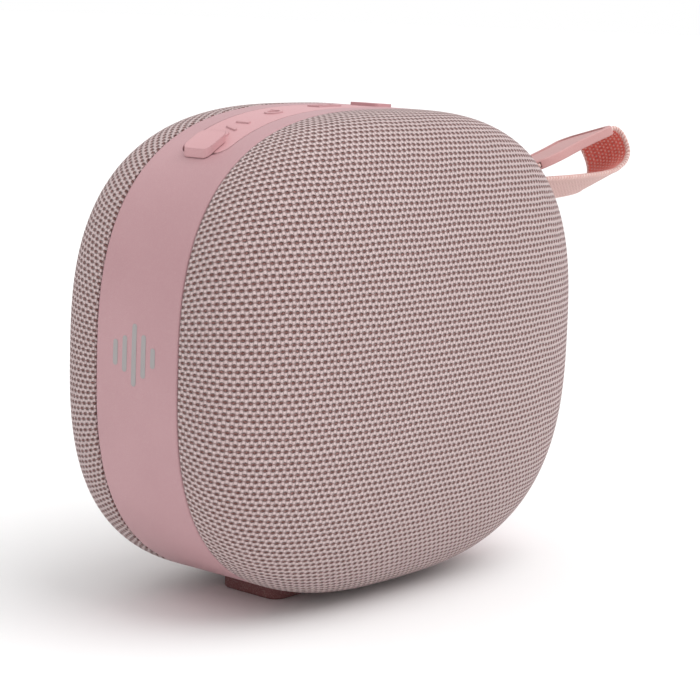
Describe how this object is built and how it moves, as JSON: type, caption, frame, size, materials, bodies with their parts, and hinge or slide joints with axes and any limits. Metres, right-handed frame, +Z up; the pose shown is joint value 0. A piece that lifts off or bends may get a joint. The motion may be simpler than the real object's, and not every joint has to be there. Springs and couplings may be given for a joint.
{
  "type": "shower speaker",
  "caption": "Rounded portable speaker with a moulded middle band, domed fabric grilles front and rear, a flap over the top ports, a rubber foot and a webbing strap with a moulded grip.",
  "frame": {"origin": "centre of the foot's underside, on the surface that the speaker stands on", "axes": "+Z up, -Y out of the front grille towards the listener, +X to the right seen from the front (the strap side)"},
  "size_m": [0.1447, 0.062, 0.0909],
  "materials": {
    "shell_plastic": "satin moulded pink plastic",
    "key_plastic": "matte pink silicone caps",
    "grille_plastic": "matte moulded plastic",
    "grille_fabric": "knitted mesh, pale pink yarn over dark holes",
    "soft_cover": "matte salmon pink silicone",
    "foot_rubber": "matte dusky pink rubber",
    "black_rubber": "matte black",
    "steel_screws": "plated",
    "basket_metal": "satin black",
    "plated_steel": "zinc plated",
    "magnet_dark": "dark ferrite",
    "coil_copper": "enamelled copper wire",
    "cone_black": "matte black",
    "spider_cloth": "resin treated cloth",
    "cell_sleeve": "shrink sleeve",
    "board_green": "solder mask",
    "chip_black": "moulded",
    "lead_wire": "insulated wire",
    "webbing": "woven pink webbing",
    "grip_plastic": "satin salmon pink"
  },
  "bodies": {
    "root": {"band_shell": "shell_plastic", "battery_cell": "cell_sleeve", "battery_cradle": "grille_plastic", "battery_leads": "lead_wire", "board_components": "chip_black", "board_screws": "steel_screws", "charge_port": "steel_screws", "driver_basket": "basket_metal", "driver_gasket": "black_rubber", "driver_leads": "lead_wire", "driver_magnet": "magnet_dark", "driver_screws": "steel_screws", "driver_spider": "spider_cloth", "driver_surround": "black_rubber", "driver_top_plate": "plated_steel", "driver_yoke": "plated_steel", "foot": "foot_rubber", "front_baffle": "grille_plastic", "front_baffle_screws": "steel_screws", "front_fabric": "grille_fabric", "front_gasket": "black_rubber", "front_grille": "grille_plastic", "key_board": "board_green", "key_lead": "lead_wire", "key_mat": "black_rubber", "key_switches": "chip_black", "main_board": "board_green", "port_cover_root": "soft_cover", "power_switch": "chip_black", "radiator_frame": "basket_metal", "radiator_screws": "steel_screws", "radiator_surround": "black_rubber", "rear_baffle": "grille_plastic", "rear_baffle_screws": "steel_screws", "rear_fabric": "grille_fabric", "rear_gasket": "black_rubber", "rear_grille": "grille_plastic", "reset_switch": "chip_black", "strap_bar": "steel_screws"},
    "port_cover": {"port_cover": "soft_cover"},
    "power_slider": {"power_slider": "chip_black"},
    "reset_button": {"reset_button": "chip_black"},
    "strap": {"strap_webbing": "webbing", "strap_grip": "grip_plastic"},
    "driver_cone": {"driver_cone": "cone_black", "driver_voice_coil": "coil_copper", "driver_dust_cap": "cone_black"},
    "radiator": {"radiator_plate": "cone_black"},
    "volume_up_button": {"volume_up_button": "key_plastic"},
    "play_button": {"play_button": "key_plastic"},
    "volume_down_button": {"volume_down_button": "key_plastic"},
    "pairing_button": {"pairing_button": "key_plastic"}
  },
  "joints": [
    {"name": "port_cover_hinge", "type": "hinge", "parent": "root", "child": "port_cover", "pos_m": [0.006, 0, 0.09032], "axis": [0, 1, 0], "range_deg": [0, 110]},
    {"name": "power_slide", "type": "slide", "parent": "root", "child": "power_slider", "axis": [1, 0, 0], "range_m": [0, 0.002]},
    {"name": "reset_press", "type": "slide", "parent": "root", "child": "reset_button", "axis": [0, 0, -1], "range_m": [0, 0.00025], "stiffness_N_per_m": 2000},
    {"name": "strap_swing", "type": "hinge", "parent": "root", "child": "strap", "pos_m": [0.04399, 0, 0.07424], "axis": [0, 1, 0], "range_deg": [-90, 20]},
    {"name": "cone_stroke", "type": "slide", "parent": "root", "child": "driver_cone", "axis": [0, 1, 0], "range_m": [-0.0015, 0.0015], "stiffness_N_per_m": 1200, "deforming": ["driver_surround", "driver_spider"]},
    {"name": "radiator_stroke", "type": "slide", "parent": "root", "child": "radiator", "axis": [0, 1, 0], "range_m": [-0.0015, 0.0025], "stiffness_N_per_m": 800, "deforming": ["radiator_surround"]},
    {"name": "volume_up_press", "type": "slide", "parent": "root", "child": "volume_up_button", "axis": [-1, 0, 0], "range_m": [0, 0.0005], "stiffness_N_per_m": 3000},
    {"name": "play_press", "type": "slide", "parent": "root", "child": "play_button", "axis": [-1, 0, 0], "range_m": [0, 0.0005], "stiffness_N_per_m": 3000},
    {"name": "volume_down_press", "type": "slide", "parent": "root", "child": "volume_down_button", "axis": [-1, 0, 0], "range_m": [0, 0.0005], "stiffness_N_per_m": 3000},
    {"name": "pairing_press", "type": "slide", "parent": "root", "child": "pairing_button", "axis": [-1, 0, 0], "range_m": [0, 0.0005], "stiffness_N_per_m": 3000, "deforming": ["key_mat"]}
  ]
}
